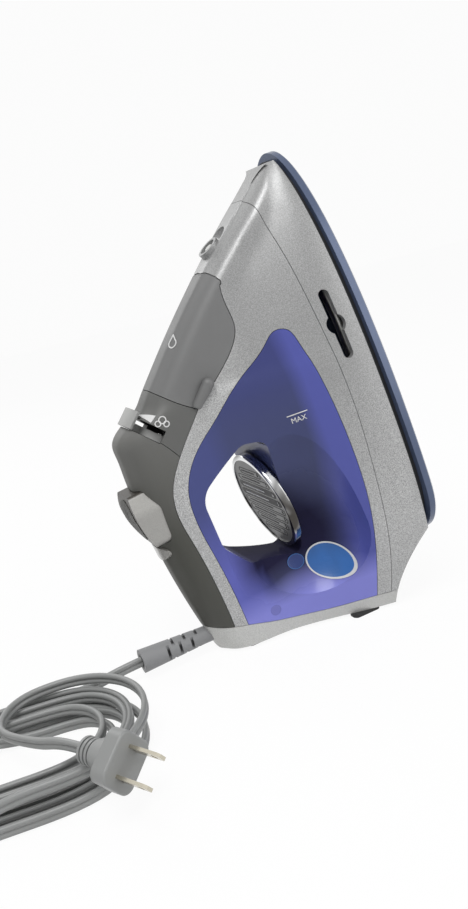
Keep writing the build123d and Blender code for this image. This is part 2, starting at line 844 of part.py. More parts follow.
# Cord guard, power cord and plug, drawn in the standing frame
guard_inside = 8.0
guard_root_out = 4.0
guard_slots = 6
guard_slot_pitch = 3.7
guard_slot_width = 1.7
guard_core = cord_diameter / 2 + 0.7
cord_entry = 8.0
cord_radius = cord_diameter / 2
coil_pitch = cord_diameter + 0.8
coil_outer = 49.0
coil_run = 70.0
coil_turn = -11.0
coil_centre = (-267.3, -33.4)
coil_runs_in = 8
coil_runs_out = 7
coil_low = cord_radius + 0.4
tail_q = 42.0
tail_radius = 24.0
plug_at = (-215.0, -109.0, 27.3)
plug_heading = -62.0
plug_roll = 34.3
plug_long = 23.5
plug_short = 20.3
plug_face_depth = 8.0
plug_length = 26.0
neck_radius = 5.4
blade_spacing = 12.7
blade_length = 17.0
blade_width = 6.3
blade_thickness = 1.5
blade_root = 6.0


def make_cord_guard():
    cone = Cone(guard_root_radius, guard_end_radius, guard_length - guard_root_out, rotation=(0, -90, 0))
    guard = Pos(exit_x - (guard_length + guard_root_out) / 2, 0, guard_height) * cone
    guard += guard_axis_bar(guard_root_radius, -guard_root_out, guard_inside)
    for i in range(guard_slots):
        x = exit_x - 8 - i * guard_slot_pitch
        for side in (-1, 1):
            reach = side * (guard_core + 10)
            place = (x, reach, guard_height) if i % 2 else (x, 0, guard_height + reach)
            size = (guard_slot_width, 20, 12) if i % 2 else (guard_slot_width, 12, 20)
            guard -= Pos(*place) * Box(*size)
    return guard - guard_axis_bar(cord_radius + running_gap, -guard_length - 1, -guard_length + cord_entry + 1)


coil_plane = Plane(
    origin=(coil_centre[0], coil_centre[1], 0),
    x_dir=(math.cos(math.radians(coil_turn)), math.sin(math.radians(coil_turn)), 0),
    z_dir=(0, 0, 1),
)
plug_axis = Vector(math.cos(math.radians(plug_heading)), math.sin(math.radians(plug_heading)), 0)
plug_side = Vector(-plug_axis.Y, plug_axis.X, 0)
plug_row = plug_side * math.cos(math.radians(plug_roll)) + Vector(0, 0, 1) * math.sin(math.radians(plug_roll))
plug_plane = Plane(origin=plug_at, x_dir=plug_row, z_dir=plug_axis)


def run_offset(n):
    """Distance of straight run n from the coil's long axis: wound in, then out again."""
    inward = min(n, coil_runs_in)
    return coil_outer - (inward - max(0, n - coil_runs_in)) * coil_pitch / 2


def run_ends(n, z):
    side = 1 if n % 2 == 0 else -1
    reach = coil_run / 2
    return (side * reach, side * run_offset(n), z), (-side * reach, side * run_offset(n), z)


def half_turn(start, end):
    """Half circle round one end of the coil, from one run to the next."""
    radius = abs(start[1] - end[1]) / 2
    outward = 1 if start[0] > 0 else -1
    middle = (start[0] + outward * radius, (start[1] + end[1]) / 2, start[2])
    return ThreePointArc(start, middle, end)


def climb(start, end):
    """S of two equal arcs that lifts the cord along a straight run."""
    start, end = Vector(*start), Vector(*end)
    flat = Vector(end.X - start.X, end.Y - start.Y, 0)
    rise = end.Z - start.Z
    bend = (flat.length ** 2 + rise ** 2) / (4 * abs(rise))
    angle = math.atan2(abs(rise), flat.length)
    along, up = flat.normalized(), Vector(0, 0, math.copysign(1, rise))
    middle = (start + end) * 0.5
    step = along * (bend * math.sin(angle)) + up * (bend * (1 - math.cos(angle)))
    print("climb radius", round(bend, 1))
    return [ThreePointArc(start, start + step, middle), ThreePointArc(middle, end - step, end)]


def coil_edges():
    """The wound length, in the coil's own plane: in on the first layer, out on the second."""
    edges = []
    z = coil_low
    last = coil_runs_in + coil_runs_out
    for n in range(last + 1):
        start, end = run_ends(n, z)
        if n in (coil_runs_in, last):
            z += coil_pitch
            end = (end[0], end[1], z)
            edges += climb(start, end)
        elif n:
            edges.append(Line(start, end))
        if n < last:
            edges.append(half_turn(end, run_ends(n + 1, z)[0]))
    return edges, end


def cord_path():
    entry = Vector(exit_x - guard_length + cord_entry, 0, guard_height)
    first, second = (coil_plane.from_local_coords(point) for point in run_ends(0, coil_low))
    leave = Vector(exit_x - guard_length - 10, 0, guard_height)
    meet = first + (first - second) * 0.1
    radii = []
    corners = [entry, leave, meet, second]
    for before, at, after in zip(corners, corners[1:], corners[2:]):
        turn = math.radians((at - before).get_angle(after - at))
        radii.append(0.45 * min((at - before).length, (after - at).length) / math.tan(turn / 2))
    print("lead radii", [round(r, 1) for r in radii])
    lead = FilletPolyline(*corners, radius=radii)
    wound, end = coil_edges()
    top = end[2]
    turn_end = (end[0], tail_q, top)
    wound.append(half_turn(end, turn_end))
    neck = Vector(*plug_at) - plug_axis * (plug_length - cord_entry)
    neck = coil_plane.to_local_coords(neck)
    heading = plug_heading - coil_turn
    way = Vector(math.cos(math.radians(heading)), math.sin(math.radians(heading)), 0)
    stretch = (tail_q - neck.Y) / -way.Y
    corner = Vector(neck.X - way.X * stretch, tail_q, top)
    back = tail_radius * math.tan(math.radians(180 + heading) / 2)
    bend_start = corner + Vector(back, 0, 0)
    bend_end = corner + way * back
    hub = bend_start + Vector(0, -tail_radius, 0)
    out = (corner - hub).normalized()
    wound.append(Line(turn_end, bend_start))
    wound.append(ThreePointArc(bend_start, hub + out * tail_radius, bend_end))
    lift = neck - way * (cord_entry + cord_diameter)
    wound += climb(tuple(bend_end), tuple(lift))
    wound.append(Line(lift, neck))
    placed = [coil_plane.from_local_coords(edge) for edge in wound]
    return lead.edges() + placed


def least_gap(edges, spacing):
    """Least distance between two stretches of the cord, less its diameter, on points along it."""
    points = []
    travelled = 0.0
    for edge in edges:
        count = max(2, int(edge.length / spacing))
        for i in range(count):
            at = edge.position_at(i / count)
            points.append((at.X, at.Y, at.Z, travelled + edge.length * i / count))
        travelled += edge.length
    least = 1e9
    for i, (x, y, z, along) in enumerate(points):
        for x2, y2, z2, along2 in points[i + 1:]:
            if along2 - along > 12 * cord_diameter and abs(x - x2) < 10 and abs(y - y2) < 10:
                least = min(least, math.dist((x, y, z), (x2, y2, z2)))
    return least - cord_diameter, travelled


def make_power_cord():
    edges = cord_path()
    gap, length = least_gap(edges, 1.5)
    path = Wire(edges)
    start = Plane(path @ 0, z_dir=path % 0)
    cord = sweep(start * Circle(cord_radius), path=path)
    print("cord length", round(length), "least gap to itself", round(gap, 2))
    print("cord volume", round(cord.volume), "section x length", round(math.pi * cord_radius ** 2 * length))
    return cord


def make_plug_body():
    outline = RectangleRounded(plug_long, plug_short, 5.0)
    body = extrude(outline, amount=-plug_face_depth)
    body = fillet(body.edges().group_by(Axis.Z)[-1], 1.0)
    flare_low = -plug_length + 8
    flare_high = -plug_face_depth + 1
    flare = Cone(neck_radius + 1, plug_short / 2 - 0.3, flare_high - flare_low)
    body += Pos(0, 0, (flare_low + flare_high) / 2) * flare
    body += upright(neck_radius, -plug_length, flare_low)
    for i in range(3):
        ring_low = -plug_length + 0.8 + i * 2.4
        body += upright(neck_radius + 0.8, ring_low, ring_low + 1.4)
    body -= upright(cord_radius + running_gap, -plug_length - 1, -plug_length + cord_entry + 0.3)
    for side in (-1, 1):
        pocket = Pos(side * blade_spacing / 2, 0, -blade_root / 2)
        body -= pocket * Box(blade_thickness + 0.04, blade_width + 0.04, blade_root)
    return plug_plane * body


def make_plug_blades():
    blades = []
    for side in (-1, 1):
        blade = Box(blade_thickness, blade_width, blade_length + blade_root)
        tip = blade.edges().filter_by(Axis.X).group_by(Axis.Z)[-1]
        blade = chamfer(tip, 1.4)
        blade -= Pos(0, 0, blade_length / 2 + blade_root / 2 - 4.5) * Cylinder(1.6, 10, rotation=(0, 90, 0))
        blades.append(plug_plane * Pos(side * blade_spacing / 2, 0, (blade_length - blade_root) / 2) * blade)
    return group(blades)


# The assembly
front_cover, rear_cover = make_handle_covers()
iron_pieces = {
    "soleplate": make_soleplate(),
    "heating_element": make_heating_element(),
    "chamber_cover": make_chamber_cover(),
    "chamber_screws": make_chamber_screws(),
    "heat_shield": make_heat_shield(),
    "skirt": make_skirt(),
    "body_shell": make_body_shell(),
    "spray_nozzle": make_spray_nozzle(),
    "water_tank": make_water_tank(),
    "tank_base": make_tank_base(),
    "drip_valve": make_drip_valve(),
    "thermostat": make_thermostat(),
    "thermal_fuse": make_thermal_fuse(),
    "dial_rim": make_dial_rim(),
    "dial_face": make_dial_face(),
    "dial_shaft": make_dial_shaft(),
    "fill_door": make_fill_door(),
    "door_hinge_pin": make_door_hinge_pin(),
    "fill_port": make_fill_port(),
    "handle_front_cover": front_cover,
    "handle_rear_cover": rear_cover,
    "steam_lever": make_steam_lever(),
    "lever_axle": make_lever_axle(),
    "lever_bracket": make_lever_bracket(),
    "burst_button": make_burst_button(),
    "pump_plunger": make_pump_plunger(),
    "pump_body": make_pump_body(),
    "indicator_lens": make_indicator_lens(),
    "lamp_board": make_lamp_board(),
    "heel_cover": make_heel_cover(),
    "heel_feet": make_heel_feet(),
    "heel_screws": make_heel_screws(),
    "terminal_block": make_terminal_block(),
    "cord_clamp": make_cord_clamp(),
}
standing = {name: stand(piece) for name, piece in iron_pieces.items()}
boxes = [piece.bounding_box() for piece in standing.values()]
centre_x = (min(box.min.X for box in boxes) + max(box.max.X for box in boxes)) / 2
standing["cord_guard"] = make_cord_guard()
standing["power_cord"] = make_power_cord()
standing["plug_body"] = make_plug_body()
standing["plug_blades"] = make_plug_blades()


def standing_point(x, z):
    place = (Pos(-centre_x, 0, heel_height) * tilt * Pos(x, 0, z)).position
    return [round(value / 1000, 5) for value in place]


print("shift", round(-centre_x, 3))
print("door pin", standing_point(door_pin_x, door_pin_z))
print("lever centre", standing_point(*lever_centre))
print("dial centre", standing_point(dial_x, dial_z))
for name, piece in standing.items():
    placed = Pos(-centre_x, 0, 0) * piece
    placed.label = name
    export_step(placed, f"parts/{name}.step")
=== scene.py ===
import bpy
import math
from mathutils import Matrix, Vector


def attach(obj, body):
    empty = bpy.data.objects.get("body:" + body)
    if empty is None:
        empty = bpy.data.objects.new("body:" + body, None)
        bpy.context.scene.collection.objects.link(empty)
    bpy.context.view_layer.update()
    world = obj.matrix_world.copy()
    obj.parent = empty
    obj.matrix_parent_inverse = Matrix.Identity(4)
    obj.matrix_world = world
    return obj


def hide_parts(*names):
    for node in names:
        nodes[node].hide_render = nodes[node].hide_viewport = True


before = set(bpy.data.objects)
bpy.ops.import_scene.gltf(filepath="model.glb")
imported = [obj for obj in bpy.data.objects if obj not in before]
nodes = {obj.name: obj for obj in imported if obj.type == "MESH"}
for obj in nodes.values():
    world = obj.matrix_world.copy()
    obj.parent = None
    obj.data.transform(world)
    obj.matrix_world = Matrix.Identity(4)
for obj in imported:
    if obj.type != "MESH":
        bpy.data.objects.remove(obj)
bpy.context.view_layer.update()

# How the iron stands, leaning back on its heel, in millimetres
LEAN = math.radians(8.0)
SHIFT_X = 81.352
HEEL_DEPTH = 41.5
FOOT_HEIGHT = 2.0
HEEL_HEIGHT = HEEL_DEPTH * math.cos(LEAN) + FOOT_HEIGHT


def iron(x, y, z):
    """Packed place, in metres, of a point given in mm along the nose, across, and up from the sole."""
    standing_x = SHIFT_X - x * math.sin(LEAN) - z * math.cos(LEAN)
    standing_z = HEEL_HEIGHT + x * math.cos(LEAN) - z * math.sin(LEAN)
    return Vector((standing_x, y, standing_z)) / 1000


# Directions to the nose and up from the sole, and the shifts that make lengths along them the iron's own
IRON_X = Vector((-math.sin(LEAN), 0, math.cos(LEAN)))
IRON_Z = Vector((-math.cos(LEAN), 0, -math.sin(LEAN)))
NOSE_SHIFT = SHIFT_X * math.sin(LEAN) - HEEL_HEIGHT * math.cos(LEAN)
RISE_SHIFT = SHIFT_X * math.cos(LEAN) + HEEL_HEIGHT * math.sin(LEAN)


# Materials
def new_material(name):
    """A material, its node tree and its shader."""
    material = bpy.data.materials.new(name)
    material.use_nodes = True
    nt = material.node_tree
    return material, nt, nt.nodes["Principled BSDF"]


def add(nt, kind, **values):
    """A node with its sockets or its own settings filled in."""
    node = nt.nodes.new(kind)
    for key, value in values.items():
        if key in node.inputs:
            node.inputs[key].default_value = value
        else:
            setattr(node, key, value)
    return node


def object_space(nt):
    return add(nt, "ShaderNodeTexCoord").outputs["Object"]


def noise(nt, scale, detail):
    """Cloudy pattern on the piece's own coordinates."""
    node = add(nt, "ShaderNodeTexNoise", Scale=scale, Detail=detail, Roughness=0.5)
    nt.links.new(object_space(nt), node.inputs["Vector"])
    return node.outputs["Fac"]


def spread(nt, fac, low, high, stops=(0.3, 0.7)):
    """Colour ramp from one colour to another between two values of a pattern."""
    ramp = add(nt, "ShaderNodeValToRGB")
    for element, stop, colour in zip(ramp.color_ramp.elements, stops, (low, high)):
        element.position = stop
        element.color = (*colour, 1)
    nt.links.new(fac, ramp.inputs["Fac"])
    return ramp.outputs["Color"]


def between(nt, fac, low, high, start=0.0, end=1.0):
    """Takes a value from one range to another, held at both ends."""
    node = add(nt, "ShaderNodeMapRange")
    for key, value in zip(("From Min", "From Max", "To Min", "To Max"), (start, end, low, high)):
        node.inputs[key].default_value = value
    nt.links.new(fac, node.inputs["Value"])
    return node.outputs["Result"]


def rising(nt, value, start, end):
    """Mask that grows from nothing to all between two values."""
    return between(nt, value, 0.0, 1.0, start, end)


def falling(nt, value, start, end):
    """Mask that goes from all to nothing between two values."""
    return between(nt, value, 1.0, 0.0, start, end)


def math_node(nt, operation, first, second=0.0):
    node = add(nt, "ShaderNodeMath", operation=operation)
    for socket, value in zip(node.inputs, (first, second)):
        if isinstance(value, (int, float)):
            socket.default_value = value
        else:
            nt.links.new(value, socket)
    return node.outputs[0]


def shared(nt, *masks):
    """Mask of where all the masks meet."""
    meeting = masks[0]
    for mask in masks[1:]:
        meeting = math_node(nt, "MULTIPLY", meeting, mask)
    return meeting


def mixed(nt, fac, low, high):
    """One colour over another by a mask."""
    node = add(nt, "ShaderNodeMix", data_type="RGBA")
    nt.links.new(fac, node.inputs[0])
    for socket, colour in zip((node.inputs[6], node.inputs[7]), (low, high)):
        if isinstance(colour, tuple):
            socket.default_value = (*colour, 1)
        else:
            nt.links.new(colour, socket)
    return node.outputs[2]


def along(nt, axis, shift=0.0):
    """How far a point of the surface lies along an axis, in millimetres."""
    dot = add(nt, "ShaderNodeVectorMath", operation="DOT_PRODUCT")
    nt.links.new(object_space(nt), dot.inputs[0])
    dot.inputs[1].default_value = Vector(axis) * 1000
    return math_node(nt, "ADD", dot.outputs["Value"], shift)


def bump(nt, height, strength, distance):
    node = add(nt, "ShaderNodeBump", Strength=strength, Distance=distance)
    nt.links.new(height, node.inputs["Height"])
    return node.outputs["Normal"]


def shaded(colour, share):
    return tuple(c * share for c in colour)


def repaint(material, mask, colour):
    """Lays a colour over what a material already carries, by a mask."""
    nt = material.node_tree
    base = nt.nodes["Principled BSDF"].inputs["Base Color"]
    nt.links.new(mixed(nt, mask, base.links[0].from_socket, colour), base)


# Scales of the patterns, per metre
CLOUD_SCALE = 28
RUB_SCALE = 60
FLAKE_SCALE = 1900
FLAKE_BUMP_SCALE = 2100
WEAR_SCALE = 22
SHEEN_SCALE = 40
WATER_SCALE = 16
TANK_GLOSS_SCALE = 90
TANK_BUMP_SCALE = 700
GUARD_BUMP_SCALE = 1400
REFLECTION_BAND_SCALE = 34.0
PLATE_SCALE = 120
PIMPLE_SCALE = 620.0
PAD_SCALE = 80

# Heights of the bumps, in metres
FINE_BUMP = 0.0001
PIMPLE_BUMP = 0.0003

# Where the painted shade on the handle's rear and on the silver's lower nose changes, in mm towards the
# nose or up from the sole
GRIP_SHADE_NOSE = (55, 112)
SILVER_SHADE_NOSE = (20, 110)
SILVER_SHADE_RISE = (62, 92)

# Tints of the tank, in the order in which they are laid; the hollow's is painted shadow, and the flare's is
# its lavender lightened with painted light
WATER_DARK, WATER_LIGHT = (0.036, 0.045, 0.122), (0.050, 0.060, 0.158)
TIP_TINT = (0.038, 0.046, 0.165)
EDGE_TINT = (0.070, 0.082, 0.31)
STRIP_REAR, STRIP_FRONT = (0.098, 0.108, 0.40), (0.052, 0.064, 0.20)
HOLLOW_SHADOW = (0.006, 0.005, 0.030)
FLARE_TINT_AND_LIGHT = (0.205, 0.212, 0.59)

# Where those tints begin and end, in millimetres towards the nose, up from the sole or out from the middle
TIP_NOSE = (95, 128)
EDGE_RISE = (46, 54)
STRIP_NOSE, STRIP_RISE = (22, 62), (92, 104)
FLARE_LIGHT_NOSE = (-11, 4)

# Bounds of the painted shadow in the hollow in the same way, for its depth and for its corner by the handle
DEEP_SHADOW_SIDE, DEEP_SHADOW_FRONT, DEEP_SHADOW_REAR, DEEP_SHADOW_RISE = (19.6, 38), (34, 66), (-8, 12), (96, 110)
CORNER_SHADOW_SIDE, CORNER_SHADOW_FRONT, CORNER_SHADOW_REAR, CORNER_SHADOW_RISE = (20, 38), (26, 42), (-3, 17), (101, 116)

# Cord guard: height of its axis in mm, and squared distances from it between which the painted shade in its
# slots turns to grey
GUARD_HEIGHT = 11.0
SHADE_WITHIN, GREY_BEYOND = 15.5, 22.0
SLOT_SHADE = (0.008, 0.008, 0.008)

# How squarely a face of the button points upwards or forwards where its dark top and front, partly painted
# shade and reflection, begin and are full
TOP_FACING = (0.55, 0.75)


def moulded(name, colour, rough, grain=2600, grain_strength=0.25, shade=0.9, metallic=0.0, coat=0.0):
    """Moulded plastic: a slow change of tone, fine grain and a rub of gloss."""
    material, nt, shader = new_material(name)
    tone = spread(nt, noise(nt, CLOUD_SCALE, 4.0), shaded(colour, shade), colour)
    gloss = between(nt, noise(nt, RUB_SCALE, 3.0), rough - 0.06, rough + 0.08)
    nt.links.new(tone, shader.inputs["Base Color"])
    nt.links.new(gloss, shader.inputs["Roughness"])
    nt.links.new(bump(nt, noise(nt, grain, 1.0), grain_strength, FINE_BUMP), shader.inputs["Normal"])
    shader.inputs["Metallic"].default_value = metallic
    shader.inputs["Coat Weight"].default_value = coat
    return material


def grip_plastic_with_shade(front, rear):
    """Handle plastic with painted shade: darker towards the heel, where its rear lies in shade."""
    material = moulded("grip_grey", rear, rough=0.52)
    nt = material.node_tree
    # Painted shade: the darker colour towards the heel, the front colour laid on towards the nose
    repaint(material, rising(nt, along(nt, IRON_X, NOSE_SHIFT), *GRIP_SHADE_NOSE), front)
    return material


def flake_silver(name, colour, sparkle, metallic, nose_painted_shade=0.0):
    """Silver paint: fine flakes, lightly clouded, under a thin clear coat; the last argument sets how much
    painted shade darkens it towards the nose, low down by the sole.
    """
    material, nt, shader = new_material(name)
    low = shaded(colour, 1 - sparkle)
    high = tuple(min(1.0, c) for c in shaded(colour, 1 + sparkle))
    flakes = spread(nt, noise(nt, FLAKE_SCALE, 1.0), low, high, (0.34, 0.66))
    wear = between(nt, noise(nt, WEAR_SCALE, 3.0), 0.0, 0.22, 0.4, 0.75)
    nt.links.new(mixed(nt, wear, flakes, shaded(colour, 0.8)), shader.inputs["Base Color"])
    # Painted shade: darker towards the nose and low down towards the sole, by the last argument's share
    nose = between(nt, along(nt, IRON_X, NOSE_SHIFT), 0.0, nose_painted_shade, *SILVER_SHADE_NOSE)
    shaded_low_side = falling(nt, along(nt, IRON_Z, RISE_SHIFT), *SILVER_SHADE_RISE)
    repaint(material, shared(nt, nose, shaded_low_side), shaded(colour, 0.5))
    nt.links.new(between(nt, noise(nt, SHEEN_SCALE, 3.0), 0.36, 0.48), shader.inputs["Roughness"])
    nt.links.new(bump(nt, noise(nt, FLAKE_BUMP_SCALE, 1.0), 0.06, FINE_BUMP), shader.inputs["Normal"])
    shader.inputs["Metallic"].default_value = metallic
    shader.inputs["Coat Weight"].default_value = 0.08
    return material


def tank_plastic():
    """Tinted tank: grey-blue on the whole, lavender along its edges and flare, the flare lightened with
    painted light, and painted shadow near black in its hollow.
    """
    material, nt, shader = new_material("tank_lavender")
    nose = along(nt, IRON_X, NOSE_SHIFT)
    rise = along(nt, IRON_Z, RISE_SHIFT)
    side = math_node(nt, "ABSOLUTE", along(nt, (0, 1, 0)))
    main = spread(nt, noise(nt, WATER_SCALE, 3.0), WATER_DARK, WATER_LIGHT)
    tipped = mixed(nt, rising(nt, nose, *TIP_NOSE), main, TIP_TINT)
    edged = mixed(nt, falling(nt, rise, *EDGE_RISE), tipped, EDGE_TINT)
    strip = mixed(nt, rising(nt, nose, *STRIP_NOSE), STRIP_REAR, STRIP_FRONT)
    edged = mixed(nt, rising(nt, rise, *STRIP_RISE), edged, strip)
    # Painted shadow: near black in the hollow under the dial and in its corner by the handle, where the
    # gloss is also rougher
    deep_shadow = shared(nt, falling(nt, side, *DEEP_SHADOW_SIDE), falling(nt, nose, *DEEP_SHADOW_FRONT),
                  rising(nt, nose, *DEEP_SHADOW_REAR), falling(nt, rise, *DEEP_SHADOW_RISE))
    corner = shared(nt, falling(nt, rise, *CORNER_SHADOW_RISE), falling(nt, nose, *CORNER_SHADOW_FRONT),
                    rising(nt, nose, *CORNER_SHADOW_REAR), falling(nt, side, *CORNER_SHADOW_SIDE))
    hollow_shadow_mask = math_node(nt, "MAXIMUM", deep_shadow, corner)
    hollow = mixed(nt, hollow_shadow_mask, edged, HOLLOW_SHADOW)
    # Lavender of the flare, partly its own colour and partly painted light where it faces the lamp
    flared = mixed(nt, falling(nt, nose, *FLARE_LIGHT_NOSE), hollow, FLARE_TINT_AND_LIGHT)
    gloss = between(nt, noise(nt, TANK_GLOSS_SCALE, 4.0), 0.16, 0.30)
    matt = math_node(nt, "MULTIPLY", hollow_shadow_mask, 0.65)
    nt.links.new(flared, shader.inputs["Base Color"])
    nt.links.new(math_node(nt, "ADD", gloss, matt), shader.inputs["Roughness"])
    nt.links.new(bump(nt, noise(nt, TANK_BUMP_SCALE, 2.0), 0.05, FINE_BUMP), shader.inputs["Normal"])
    shader.inputs["Specular IOR Level"].default_value = 0.25
    shader.inputs["Coat Weight"].default_value = 0.06
    return material


def guard_rubber(colour):
    """Cord guard: grey outside, with painted shade dark down in its slots."""
    material, nt, shader = new_material("guard_grey")
    offsets = (along(nt, (0, 0, 1), -GUARD_HEIGHT), along(nt, (0, 1, 0)))
    squares = [math_node(nt, "MULTIPLY", offset, offset) for offset in offsets]
    # Painted shade: near black down in the slots, grey outside
    outside = rising(nt, math_node(nt, "ADD", *squares), SHADE_WITHIN, GREY_BEYOND)
    nt.links.new(mixed(nt, outside, SLOT_SHADE, colour), shader.inputs["Base Color"])
    nt.links.new(between(nt, noise(nt, RUB_SCALE, 3.0), 0.42, 0.58), shader.inputs["Roughness"])
    nt.links.new(bump(nt, noise(nt, GUARD_BUMP_SCALE, 1.0), 0.2, FINE_BUMP), shader.inputs["Normal"])
    return material


def plated(name, bright, dark, rough):
    """Bright plating that carries smeared dark bands, painted as reflections."""
    material, nt, shader = new_material(name)
    # Painted reflections: broad dark bands across the bright plating
    reflection_band = add(nt, "ShaderNodeTexNoise", Scale=REFLECTION_BAND_SCALE, Detail=2.0, Distortion=0.6)
    nt.links.new(object_space(nt), reflection_band.inputs["Vector"])
    nt.links.new(spread(nt, reflection_band.outputs["Fac"], dark, bright, (0.40, 0.56)), shader.inputs["Base Color"])
    nt.links.new(between(nt, noise(nt, PLATE_SCALE, 4.0), rough, rough + 0.12), shader.inputs["Roughness"])
    shader.inputs["Metallic"].default_value = 1.0
    return material


def pebbled(name, colour):
    """Dark plastic with small round pimples."""
    material, nt, shader = new_material(name)
    cells = add(nt, "ShaderNodeTexVoronoi", Scale=PIMPLE_SCALE)
    nt.links.new(object_space(nt), cells.inputs["Vector"])
    pimple = falling(nt, cells.outputs["Distance"], 0.15, 0.5)
    nt.links.new(mixed(nt, pimple, shaded(colour, 0.55), colour), shader.inputs["Base Color"])
    nt.links.new(bump(nt, pimple, 0.7, PIMPLE_BUMP), shader.inputs["Normal"])
    nt.links.new(between(nt, noise(nt, PAD_SCALE, 3.0), 0.45, 0.62), shader.inputs["Roughness"])
    return material


def button_finish(colour, dark_top_and_painted_shade):
    """Silver sides with a dark top and front, partly the top's own dark face and partly painted shade and
    reflection.
    """
    material = flake_silver("silver_button", colour, sparkle=0.07, metallic=0.30)
    nt = material.node_tree
    masks = []
    for axis in (IRON_Z, IRON_X):
        facing = add(nt, "ShaderNodeVectorMath", operation="DOT_PRODUCT")
        nt.links.new(add(nt, "ShaderNodeNewGeometry").outputs["Normal"], facing.inputs[0])
        facing.inputs[1].default_value = axis
        masks.append(rising(nt, facing.outputs["Value"], *TOP_FACING))
    # Painted shade and reflection: faces towards the top and the front turn dark brown
    repaint(material, math_node(nt, "MAXIMUM", *masks), dark_top_and_painted_shade)
    return material


silver = flake_silver("silver_flake", (0.40, 0.402, 0.402), sparkle=0.34, metallic=0.45, nose_painted_shade=0.6)
band_silver = flake_silver("silver_band", (0.49, 0.492, 0.478), sparkle=0.12, metallic=0.20)
button_silver = button_finish((0.33, 0.325, 0.31), dark_top_and_painted_shade=(0.045, 0.040, 0.034))
tank_tint = tank_plastic()
handle_grey = moulded("handle_grey", (0.098, 0.099, 0.095), rough=0.5)
grip_grey = grip_plastic_with_shade(front=(0.112, 0.112, 0.106), rear=(0.054, 0.0545, 0.046))
door_grey = moulded("door_grey", (0.140, 0.141, 0.141), rough=0.48)
lever_grey = moulded("lever_grey", (0.31, 0.312, 0.305), rough=0.42)
shield_black = moulded("shield_black", (0.008, 0.008, 0.01), rough=0.5)
cord_grey = moulded("cord_grey", (0.25, 0.255, 0.252), rough=0.36, grain=900, grain_strength=0.1)
guard_grey = guard_rubber((0.22, 0.223, 0.228))
chrome = plated("chrome", bright=(0.78, 0.79, 0.80), dark=(0.07, 0.065, 0.06), rough=0.06)
sole_blue = moulded("sole_blue", (0.082, 0.108, 0.182), rough=0.22, grain_strength=0.08, metallic=0.3)
dial_print = moulded("dial_plate", (0.19, 0.19, 0.184), rough=0.36, grain_strength=0.06, metallic=0.3)
lens_clear = moulded("lens_clear", (0.26, 0.255, 0.24), rough=0.12, grain_strength=0.05, coat=0.6)
foot_rubber = moulded("foot_rubber", (0.02, 0.02, 0.02), rough=0.8)
bare_metal = moulded("bare_metal", (0.5, 0.5, 0.48), rough=0.35, metallic=1.0)
white_plastic = moulded("white_plastic", (0.6, 0.6, 0.57), rough=0.5)
board_green = moulded("board_green", (0.02, 0.08, 0.03), rough=0.5)
blade_metal = moulded("blade_metal", (0.62, 0.58, 0.48), rough=0.25, grain_strength=0.05, metallic=1.0)
mark_white = moulded("mark_white", (0.62, 0.62, 0.62), rough=0.5, grain_strength=0.1)
mark_dark = moulded("mark_dark", (0.010, 0.010, 0.011), rough=0.5, grain_strength=0.1)
label_blue = moulded("label_blue", (0.02, 0.13, 0.42), rough=0.3, grain_strength=0.03, shade=0.6)
label_deep = moulded("label_deep", (0.008, 0.035, 0.19), rough=0.3, grain_strength=0.03, shade=0.7)
mould_tint = moulded("mould_lavender", (0.15, 0.155, 0.47), rough=0.25, grain_strength=0.04)
button_pad = pebbled("button_pad", (0.062, 0.061, 0.054))

finishes = {
    "soleplate": sole_blue, "heat_shield": shield_black, "skirt": silver, "body_shell": silver,
    "spray_nozzle": band_silver, "water_tank": tank_tint, "tank_base": tank_tint, "fill_port": tank_tint,
    "dial_rim": chrome, "dial_face": dial_print, "fill_door": door_grey, "handle_front_cover": handle_grey,
    "handle_rear_cover": grip_grey, "steam_lever": lever_grey, "burst_button": button_silver,
    "indicator_lens": lens_clear, "heel_cover": band_silver, "heel_feet": foot_rubber,
    "cord_guard": guard_grey, "plug_body": cord_grey, "plug_blades": blade_metal,
    "lever_bracket": shield_black, "thermostat": white_plastic, "pump_plunger": white_plastic,
    "pump_body": white_plastic, "terminal_block": white_plastic, "cord_clamp": white_plastic,
    "lamp_board": board_green,
}
for name, node in nodes.items():
    node.data.materials.clear()
    node.data.materials.append(finishes.get(name, bare_metal))


def deselect():
    """Leaves edit mode with nothing selected."""
    if bpy.context.object and bpy.context.object.mode != "OBJECT":
        bpy.ops.object.mode_set(mode="OBJECT")
    bpy.ops.object.select_all(action="DESELECT")


# Power cord: the route from the guard into the wound hank and out to the plug, in millimetres
CORD_WIDTH = 6.0
CORD_LOBE = 1.55
EXIT_X = -134.8
GUARD_LENGTH = 42.0
LEAD_START, LEAD_END = GUARD_LENGTH - 8, GUARD_LENGTH + 10
LEAD_SHARE = 0.1
COIL_CENTRE = Vector((-267.3, -33.4, 0))
COIL_TURN = math.radians(-11.0)
COIL_PITCH = 6.8
COIL_OUTER = 49.0
COIL_RUN = 70.0
COIL_CLIMB = COIL_RUN / 5
RUNS_IN, RUNS_OUT = 8, 7
COIL_LOW = 3.4
TURN_STEP = 30
TURN_REACH = 0.966
TAIL_Q = 42.0
TAIL_RADIUS = 24.0
TAIL_STEPS = 4
PLUG_AT = Vector((-215.0, -109.0, 27.3))
PLUG_HEADING = math.radians(-62.0)
PLUG_NECK = 18.0
RUN_STRAY = [0.0, 0.5, -0.6, 0.9, 0.7, -0.8, 0.4, -0.5, 0.0, 1.2, -1.0, 1.6, 0.8, -1.4, 1.0, 0.0]
LOOP_STRAY = [0.0, -3.0, 2.0, -5.0, -1.0, 3.0, -4.0, 2.0, 0.0, -6.0, 4.0, -2.0, 5.0, -5.0, 2.0, 0.0]

# Last points of the cord: how far each lies from the plug's neck, and how far below it
NECK_POINTS = [(44, 6.5), (28, 1.5), (12, 0), (0, 0)]


